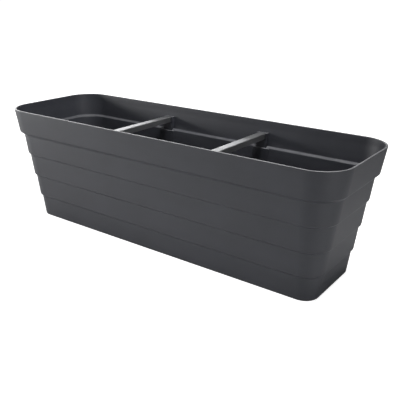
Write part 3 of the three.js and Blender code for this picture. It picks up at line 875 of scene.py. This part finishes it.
SLOT_PITCH = (0.027, 0.022)
SLOT_ROWS = range(-3, 4)
WICK_PLACES = (0.136, 0.268)
WICK_HALF_SPAN = 0.022
WICK_SLOT = (0.003, 0.0165)
LEG_PLACES = [(x, y) for x in (0.02, 0.175, 0.325) for y in (-0.06, 0.06)]
LEG_REACH = 0.009
SEAM_RIB, LONG_RIB = 0.086, 0.335  # how far the ribs reach
LONG_RIB_PLACES = (-0.055, 0.055)
FLOOR_TOP = 0.0071


def plate_edge(extra, steps=12):
    """The right half of the separator's outline, from the seam at the front round to the seam at the back."""
    sizes = bpy.context.scene.planter_trough
    gap = sizes.wall + 2 * CLEAR + extra
    points = outline(inset_at(PLATE_LOW - sizes.ledge_rise), PLATE_LOW, gap, steps)
    quarter = steps + 1
    right = points[3 * quarter:] + points[:quarter]
    half_y = max(y for _, y in right)
    return [(CLEAR, -half_y), *right, (CLEAR, half_y)]


def plate_top():
    return PLATE_LOW + bpy.context.scene.planter_inside.plate


def separator_half(fitting_x, fitting_y, hole):
    """The right half of the slotted false floor, with its lip, ribs and legs."""
    sizes = bpy.context.scene.planter_inside
    low, high = PLATE_LOW, PLATE_LOW + sizes.plate
    busy = [(fitting_x, fitting_y, hole + sizes.slot_length / 2 + 0.005, hole + 0.007)]
    holes = [circle(fitting_x, fitting_y, hole)]
    across, along = WICK_SLOT
    for x in WICK_PLACES:
        busy.append((x, 0, WICK_HALF_SPAN + sizes.slot_length / 2 + 0.006, 0.02))
        for middle in (x - WICK_HALF_SPAN, x + WICK_HALF_SPAN):
            slot = rectangle(middle - across, middle + across, -along, along)
            holes.append(rounded(slot, 0.0012, 3))
    limit = max(x for x, _ in plate_edge(0)) - 0.0173
    for column in range(1, math.ceil(limit / SLOT_PITCH[0])):
        for row in SLOT_ROWS:
            x, y = column * SLOT_PITCH[0], row * SLOT_PITCH[1]
            if all(abs(x - bx) > rx or abs(y - by) > ry for bx, by, rx, ry in busy):
                holes.append(stadium(x, y, sizes.slot_length, sizes.slot_width))
    parts = [slab([plate_edge(0.0002), *holes], low, high, "z", 0.0004)]
    lip_rings = []
    rise, thick = high + sizes.lip, 0.0018
    for extra, z in ((0, low + 0.001), (0, rise), (thick, rise), (thick, low + 0.001)):
        lip_rings.append([(x, y, z) for x, y in plate_edge(extra)[1:-1]])
    lip_path = [[ring[k] for ring in lip_rings] for k in range(len(lip_rings[0]))]
    front, back = lip_path[0], lip_path[-1]
    ends = [[(CLEAR, y, z) for _, y, z in front], *lip_path, [(CLEAR, y, z) for _, y, z in back]]
    parts.append(loft(ends))
    fin = sizes.fin
    under, above = low - sizes.rib, low + 0.0005
    parts.append(bar((CLEAR, -SEAM_RIB, under), (CLEAR + fin, SEAM_RIB, above), 0.0003))
    for y in LONG_RIB_PLACES:
        parts.append(bar((0.001, y - fin / 2, under), (LONG_RIB, y + fin / 2, above), 0.0003))
    for x, y in LEG_PLACES:
        for reach_x, reach_y in ((LEG_REACH, fin / 2), (fin / 2, LEG_REACH)):
            corner = (x - reach_x, y - reach_y, FLOOR_TOP)
            parts.append(bar(corner, (x + reach_x, y + reach_y, above), 0.0003))
    return together(*parts)


class PLANTER_OT_separator(bpy.types.Operator):
    """Build the two halves of the slotted separator over the reservoir"""

    bl_idname = "planter.separator"
    bl_label = "Separator"

    def execute(self, context):
        fittings = context.scene.planter_fittings
        y = fitting_y()
        gauge = separator_half(fitting_x("gauge_tube"), y, fittings.gauge_radius + CLEAR)
        filler = separator_half(-fitting_x("filler_tube"), y, fittings.filler_radius + CLEAR)
        piece("separator_right_moulding", gauge, "planter", "inner_plastic", "separator_right")
        piece("separator_left_moulding", mirrored(filler), "planter", "inner_plastic", "separator_left")
        return {"FINISHED"}


# ---- wicks ----


def wick_line():
    """The middle line of a wick in (x, z) about its own middle, from one end on the floor to the other."""
    felt_half = bpy.context.scene.planter_inside.felt / 2
    over = plate_top() + CLEAR + felt_half
    floor = FLOOR_TOP + felt_half
    leg, foot = WICK_HALF_SPAN, 0.05
    corners = [(-foot, floor), (-leg, floor), (-leg, over), (leg, over), (leg, floor), (foot, floor)]
    return rounded(corners, 0.006, 8, closed=False)


def spaced(path, gap):
    """The path's points about `gap` apart, with their distances from its start."""
    result, walked = [(path[0], 0.0)], 0.0
    for start, end in zip(path, path[1:]):
        run = math.dist(start, end)
        count = max(1, round(run / gap))
        for k in range(1, count + 1):
            share = k / count
            result.append((tuple(a + (b - a) * share for a, b in zip(start, end)), walked + run * share))
        walked += run
    return result


class PLANTER_OT_wicks(bpy.types.Operator):
    """Lay the four felt wicks over the separator, with their ends down in the water"""

    bl_idname = "planter.wicks"
    bl_label = "Wicks"

    def execute(self, context):
        thickness = context.scene.planter_inside.felt
        line = spaced(wick_line(), 0.0025)
        for number in range(1, 5):
            node = f"felt_wick_{number}"
            low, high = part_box(node)
            middle, width = (low.x + high.x) / 2, high.y - low.y
            mesh = self.strip(line, middle, width, number)
            strip = piece(f"{node}_strip", mesh, "planter", "felt", node, sharp=80)
            strip.modifiers.clear()
            thick = strip.modifiers.new("thickness", "SOLIDIFY")
            thick.thickness = thickness * 0.93
            thick.offset = 0
            soft = strip.modifiers.new("soft_edges", "BEVEL")
            soft.width = 0.0005
            soft.segments = 2
            soft.limit_method = "ANGLE"
            soft.angle_limit = math.radians(60)
        return {"FINISHED"}

    def strip(self, line, middle, width, number, rows=13):
        """One wick's middle surface, slightly wavering and rippled."""
        mesh = bmesh.new()
        grid = []
        for (u, v), walked in line:
            waver = noise.noise(Vector((walked * 40, number * 7.3, 0))) * 0.0006
            row = []
            for k in range(rows):
                across = k / (rows - 1) - 0.5
                y = across * (width - 0.0012) + waver
                ripple = noise.noise(Vector((walked * 90, across * 3, number * 3.1))) * 0.00035
                row.append(mesh.verts.new((middle + u, y, v + ripple)))
            grid.append(row)
        for first, second in zip(grid, grid[1:]):
            for k in range(rows - 1):
                mesh.faces.new((first[k], first[k + 1], second[k + 1], second[k]))
        bmesh.ops.recalc_face_normals(mesh, faces=mesh.faces)
        return mesh


# ---- filler ----

COLLAR_WIDTH, COLLAR_HEIGHT = 0.004, 0.002  # of the ring by which a tube stands on the separator
COLLAR_EASE = [0.0005, 0.0005, 0.0003, 0.0006, 0.0006, 0.0008]
EAR_RADIUS, EAR_REACH = 0.0032, (0.0073, 0.0097)  # of the two ears that hold the lid's pin
EAR_DEPTH = 0.006
TONGUE_HALF = 0.007
LID_THICKNESS = 0.0024
DROP_RADIUS, DROP_TIP = 0.0052, 0.0042


def fitting_x(node):
    low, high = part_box(node)
    return (low.x + high.x) / 2


def fitting_y():
    low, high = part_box("gauge_tube")
    return (low.y + high.y) / 2


def collared(inner, outer, low):
    """The lower part of a tube's profile, up to the collar that stands on the separator."""
    seat = plate_top() + CLEAR
    wide, high = outer + COLLAR_WIDTH, seat + COLLAR_HEIGHT
    return [(inner, low), (outer, low), (outer, seat), (wide, seat), (wide, high), (outer, high)]


def hinge_axis():
    """The point that the filler lid's joint turns about."""
    joint = next(j for j in frame["joints"] if j["name"] == "filler_lid_hinge")
    return Vector(joint["pos_m"])


class PLANTER_OT_filler(bpy.types.Operator):
    """Build the filler tube with its hinged lid and pin"""

    bl_idname = "planter.filler"
    bl_label = "Filler"

    def execute(self, context):
        sizes = context.scene.planter_fittings
        x, y = fitting_x("filler_tube"), fitting_y()
        hinge = hinge_axis()
        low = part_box("filler_tube")[0].z
        top = hinge.z - 0.0014
        r, mouth, wall = sizes.filler_radius, sizes.mouth_radius, sizes.tube_wall
        profile = [
            *collared(r - wall, r, low), (r, top - 0.016), (mouth, top - 0.006), (mouth, top),
            (mouth - wall, top), (mouth - wall, top - 0.0055), (r - wall, top - 0.0155),
        ]
        reaches = [*COLLAR_EASE, 0.004, 0.004, 0.0007, 0.0007, 0.004, 0.004]
        parts = [turn(rounded(profile, reaches, 4), (x, y, 0))]
        foot, front = top - EAR_DEPTH, y - mouth + 0.0024
        ear = [(hinge.y - EAR_RADIUS, foot), (front, foot), (front, top), (hinge.y + EAR_RADIUS, top)]
        ear += arc(hinge.y, hinge.z, EAR_RADIUS, 0, math.pi, 12)
        hole = circle(hinge.y, hinge.z, sizes.pin_radius + CLEAR * 0.5, 24)
        for side in (-1, 1):
            near, far = sorted(x + side * reach for reach in EAR_REACH)
            parts.append(slab([ear, hole], near, far, "x", 0.0003))
        piece("filler_tube_moulding", together(*parts), "planter", "inner_plastic", "filler_tube")
        self.lid(sizes, x, y, top, hinge)
        self.pin(sizes, hinge)
        return {"FINISHED"}

    def lid(self, sizes, x, y, top, hinge):
        """A round cover with an inner rim, a hinge tongue and knuckle, a finger lip and a raised drop."""
        low, high = top + CLEAR, top + CLEAR + LID_THICKNESS
        mouth, half = sizes.mouth_radius, TONGUE_HALF
        rim = mouth - sizes.tube_wall - 0.0008
        inside, edge, groove = rim - 0.0012, mouth + 0.0006, high - 0.0007
        profile = [
            (0, low), (inside, low), (inside, low - 0.003), (rim, low - 0.003), (rim, low), (edge, low),
            (edge, high), (mouth - 0.0025, high), (mouth - 0.0032, groove), (mouth - 0.0042, groove),
            (mouth - 0.0049, high), (0, high),
        ]
        reaches = [0, 0.0004, 0.0004, 0.0004, 0.0004, 0.0006, 0.001, 0.0003, 0.0003, 0.0003, 0.0003, 0]
        parts = [turn(rounded(profile, reaches, 3, closed=False), (x, y, 0))]
        corner = (x - half, hinge.y, hinge.z - 0.001)
        parts.append(bar(corner, (x + half, y - mouth + 0.004, high), 0.0004))
        knuckle = [circle(hinge.y, hinge.z, EAR_RADIUS, 32)]
        knuckle.append(circle(hinge.y, hinge.z, sizes.pin_radius + 0.0001, 24))
        parts.append(slab(knuckle, x - half, x + half, "x", 0.0003))
        lip = rectangle(x - half, x + half, y + mouth - 0.002, y + mouth + 0.004)
        parts.append(slab([rounded(lip, [0, 0, 0.003, 0.003], 6)], low, high, "z", 0.0005))
        drop = []
        for u, v in circle(0, 0, 1, 40):
            swell = DROP_RADIUS * (1 - 0.45 * max(0, v) ** 2)
            drop.append((x + swell * u, y - 0.001 + swell * v + DROP_TIP * max(0, v) ** 6))
        parts.append(slab([drop], high - 0.0006, high + 0.0004, "z", 0.0002))
        piece("filler_lid_flap", together(*parts), "lid", "inner_plastic", "filler_lid")

    def pin(self, sizes, hinge):
        low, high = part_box("filler_lid_pin")
        mesh = rod(sizes.pin_radius, low.x, high.x, (0, hinge.y, hinge.z), 0.0005, 4, "x", 32)
        piece("filler_lid_wire", mesh, "planter", "pin_metal", "filler_lid_pin")


# ---- gauge ----

WATER_SLOT = (0.0015, 0.02)  # half sizes of the slots that let the water into the tube
BARRELS = (  # node, last word of its piece, finish, easing of its ends, bends and steps round
    ("gauge_float", "barrel", "float_foam", 0.0025, 6, 64),
    ("gauge_stem", "rod", "stem_plastic", 0.0004, 3, 32),
)


class PLANTER_OT_gauge(bpy.types.Operator):
    """Build the water gauge: tube, end cap, clear window, float, stem and red head"""

    bl_idname = "planter.gauge"
    bl_label = "Gauge"

    def execute(self, context):
        sizes = context.scene.planter_fittings
        x, y = fitting_x("gauge_tube"), fitting_y()
        centre = (x, y, 0)
        r, wall = sizes.gauge_radius, sizes.tube_wall
        low, high = (corner.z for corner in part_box("gauge_tube"))
        profile = [*collared(r - wall, r, low), (r, high), (r - wall, high)]
        tube = turn(rounded(profile, [*COLLAR_EASE, 0.0006, 0.0006], 4), centre)
        cutters = []
        for reach_x, reach_y in (WATER_SLOT, WATER_SLOT[::-1]):
            corner = (x - reach_x, y - reach_y, low + 0.005)
            cutters.append(bar(corner, (x + reach_x, y + reach_y, PLATE_LOW - 0.008), BARE_EDGE))
        piece("gauge_tube_moulding", carve(tube, cutters), "planter", "inner_plastic", "gauge_tube")

        low, high = (corner.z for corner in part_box("gauge_end_cap"))
        floor = high - 0.004 - CLEAR
        hole, inner, outer = 0.005, r + CLEAR, r + 0.0015
        cup = [(hole, low), (outer, low), (outer, high), (inner, high), (inner, floor), (hole, floor)]
        mesh = turn(rounded(cup, [0.0004, 0.0008, 0.0005, 0.0004, 0.0003, 0.0004], 4), centre)
        piece("gauge_end_cup", mesh, "planter", "inner_plastic", "gauge_end_cap")

        low, high = (corner.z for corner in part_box("gauge_window"))
        outer, under = r + 0.0018, high - 0.0016
        dome = [
            (inner, low), (outer, low), (outer, high - 0.005), (r - 0.0025, high), (0, high),
            (0, under), (r - 0.0033, under), (inner, high - 0.0058),
        ]
        mesh = turn(rounded(dome, [0.0004, 0.0004, 0.003, 0.003, 0, 0, 0.003, 0.003], 6), centre)
        piece("gauge_window_cap", mesh, "planter", "clear_plastic", "gauge_window")

        for node, word, finish, ease, bends, steps in BARRELS:
            low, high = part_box(node)
            radius = (high.x - low.x) / 2
            mesh = rod(radius, low.z, high.z, centre, ease, bends, steps=steps)
            piece(f"{node}_{word}", mesh, "float", finish, node)

        low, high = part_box("gauge_head")
        radius = (high.x - low.x) / 2
        knob = [
            (0, low.z), (radius, low.z), (radius, low.z + 0.002), (radius - 0.0006, low.z + 0.0025),
            (radius, low.z + 0.003), (radius, high.z), (0, high.z),
        ]
        mesh = turn(rounded(knob, [0, 0.0005, 0.0003, 0.0003, 0.0003, 0.002, 0], 5, closed=False), centre)
        piece("gauge_head_knob", mesh, "float", "signal_red", "gauge_head")
        return {"FINISHED"}


# ---- drain ----

HEAD_RADIUS, HEAD_DEPTH = 0.0095, 0.003
HEAD_RIBS, RIB_RADIUS = 18, 0.0005
GRIP_HALF_HEIGHT, GRIP_HALF_WIDTH = 0.007, 0.0018


def drain_face():
    """Where the drain boss's outer face stands, along x."""
    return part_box("drain_washer")[1].x + CLEAR


def drain_height():
    low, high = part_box("drain_washer")
    return (low.z + high.z) / 2


class PLANTER_OT_drain(bpy.types.Operator):
    """Build the drain plug and its rubber washer"""

    bl_idname = "planter.drain"
    bl_label = "Drain"

    def execute(self, context):
        sizes = context.scene.planter_fittings
        centre = (0, 0, drain_height())
        low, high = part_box("drain_washer")
        outer = (high.z - low.z) / 2
        ring = [(sizes.drain_radius, low.x), (outer, low.x), (outer, high.x), (sizes.drain_radius, high.x)]
        washer = turn(rounded(ring, 0.0006, 4), centre, "x")
        piece("drain_washer_ring", washer, "plug", "washer_rubber", "drain_washer")

        face = low.x - CLEAR
        low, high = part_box("drain_plug")
        r, head, back = sizes.drain_radius - CLEAR, HEAD_RADIUS, face - HEAD_DEPTH
        profile = [(0, back), (head, back), (head, face), (r, face), (r, high.x), (0, high.x)]
        reaches = [0, 0.0012, 0.0006, 0.0004, 0.0012, 0]
        parts = [turn(rounded(profile, reaches, 5, closed=False), centre, "x")]
        z, tall, half = drain_height(), GRIP_HALF_HEIGHT, GRIP_HALF_WIDTH
        grip = rounded(rectangle(low.x, face - 0.001, z - tall, z + tall), [0.0035, 0, 0, 0.0035], 8)
        parts.append(slab([grip], -half, half, "y", 0.0006))
        for y, up in circle(0, 0, head * 0.985, HEAD_RIBS):
            at = (0, y, z + up)
            parts.append(rod(RIB_RADIUS, face - 0.0026, face - 0.0005, at, axis="x", steps=8))
        piece("drain_plug_moulding", together(*parts), "plug", "inner_plastic", "drain_plug")
        return {"FINISHED"}


# ---- stage ----

AIM = Vector((0.0172, 0.0478, 0.0758))  # the point that the camera looks at
FLOOR_HALF, FLOOR_DROP = 60, 0.0003
LIGHTS = {  # place, aim, size in metres and spread in degrees of each soft light
    "key": ((-2.1, -1.1, 0.35), (-0.25, 0, 0.12), (1.4, 0.6), 180),
    "back": ((-2.3, 2.3, 0.8), (0, 0, 0.22), (3.4, 0.9), 180),
    "fill": ((1.7, -0.6, 0.2), (0.3, 0, 0.1), (0.8, 0.5), 180),
    "top": ((0.35, -0.1, 1.25), (-0.12, 0, 0.1), (0.8, 0.3), 110),
}
WHITE = (1.0, 1.0, 1.0)
BLACK = (0.0, 0.0, 0.0)


def soft_light(name, power, place, aim, size, spread):
    data = bpy.data.lights.new(name, "AREA")
    data.spread = math.radians(spread)
    data.shape = "RECTANGLE"
    data.size, data.size_y = size
    data.energy = power
    lamp = placed(name, data)
    lamp.location = place
    lamp.rotation_euler = (Vector(aim) - Vector(place)).to_track_quat("-Z", "Y").to_euler()
    lamp.visible_camera = False


class PLANTER_OT_stage(bpy.types.Operator):
    """Set up the camera, the pale floor and the soft lights"""

    bl_idname = "planter.stage"
    bl_label = "Stage"

    def execute(self, context):
        scene = context.scene
        stage = scene.planter_stage
        azimuth, elevation = math.radians(stage.azimuth), math.radians(stage.elevation)
        level = math.cos(elevation)
        away = Vector((math.sin(azimuth) * level, -math.cos(azimuth) * level, math.sin(elevation)))
        data = bpy.data.cameras.new("camera")
        data.lens = stage.lens
        data.sensor_width = 36
        data.clip_end = 200
        camera = placed("camera", data)
        roll = Matrix.Rotation(math.radians(stage.roll), 3, "Z")
        turned = (-away).to_track_quat("-Z", "Y").to_matrix() @ roll
        camera.matrix_world = Matrix.Translation(AIM + away * stage.distance) @ turned.to_4x4()
        scene.camera = camera
        self.floor(stage)
        self.sky(stage)
        for name, light in LIGHTS.items():
            soft_light(name, getattr(stage, name), *light)
        scene.view_settings.view_transform = "Standard"
        return {"FINISHED"}

    def sky(self, stage):
        """White light all round that falls off towards the right; the camera sees a plain white backdrop."""
        world = bpy.data.worlds.new("studio")
        studio = Nodes(world)
        where = studio.node("ShaderNodeTexCoord", out="Generated")
        right = studio.node("ShaderNodeSeparateXYZ", None, {0: where}, out="X")
        limits = {0: right, 1: -1.0, 2: 1.0, 3: stage.sky, 4: stage.sky * stage.sky_right}
        light = studio.node("ShaderNodeMapRange", {"interpolation_type": "SMOOTHSTEP"}, limits)
        seen = studio.node("ShaderNodeLightPath", out="Is Camera Ray")
        studio.feed(world.node_tree.nodes["Background"].inputs["Color"], studio.mix(seen, light, WHITE))
        bpy.context.scene.world = world

    def floor(self, stage):
        mesh = bmesh.new()
        bmesh.ops.create_grid(mesh, x_segments=1, y_segments=1, size=FLOOR_HALF)
        data = datablock("floor", mesh)
        floor = placed("floor", data)
        floor.location.z = -FLOOR_DROP
        finish = Finish("floor_paper")
        tone = finish.noise(400, 3, 0.5)
        base = finish.mix(tone.between(0.3, 0.7), toned(stage.floor, 0.98), tuple(stage.floor))
        seen = finish.node("ShaderNodeLightPath", out="Is Camera Ray")
        paper = finish.finished(
            Base_Color=base, Roughness=0.9, Specular_IOR_Level=0.1,
            Emission_Color=finish.mix(seen, BLACK, WHITE), Emission_Strength=stage.glow,
        )
        data.materials.append(paper)


# ---- panel and registration ----

OPERATORS = (
    PLANTER_OT_stage,
    PLANTER_OT_trough,
    PLANTER_OT_braces,
    PLANTER_OT_separator,
    PLANTER_OT_wicks,
    PLANTER_OT_filler,
    PLANTER_OT_gauge,
    PLANTER_OT_drain,
)
GROUPS = {
    "planter_trough": PlanterTrough,
    "planter_braces": PlanterBraces,
    "planter_inside": PlanterInside,
    "planter_fittings": PlanterFittings,
    "planter_colours": PlanterColours,
    "planter_stage": PlanterStage,
}


class PLANTER_PT_panel(bpy.types.Panel):
    """Lists the planter's sizes, colours and building steps"""

    bl_idname = "PLANTER_PT_panel"
    bl_label = "Planter"
    bl_space_type = "VIEW_3D"
    bl_region_type = "UI"
    bl_category = "Planter"

    def draw(self, context):
        for name, group in GROUPS.items():
            box = self.layout.box()
            box.label(text=group.__doc__)
            for key in group.__annotations__:
                box.prop(getattr(context.scene, name), key)
        for operator in OPERATORS:
            self.layout.operator(operator.bl_idname)


def register():
    for thing in (*GROUPS.values(), *OPERATORS, PLANTER_PT_panel):
        bpy.utils.register_class(thing)
    for name, group in GROUPS.items():
        setattr(bpy.types.Scene, name, PointerProperty(type=group))


def unregister():
    for name in GROUPS:
        delattr(bpy.types.Scene, name)
    for thing in reversed((*GROUPS.values(), *OPERATORS, PLANTER_PT_panel)):
        bpy.utils.unregister_class(thing)


def main():
    register()
    make_materials()
    for operator in OPERATORS:
        group, step = operator.bl_idname.split(".")
        getattr(getattr(bpy.ops, group), step)()


if __name__ == "__main__":
    main()
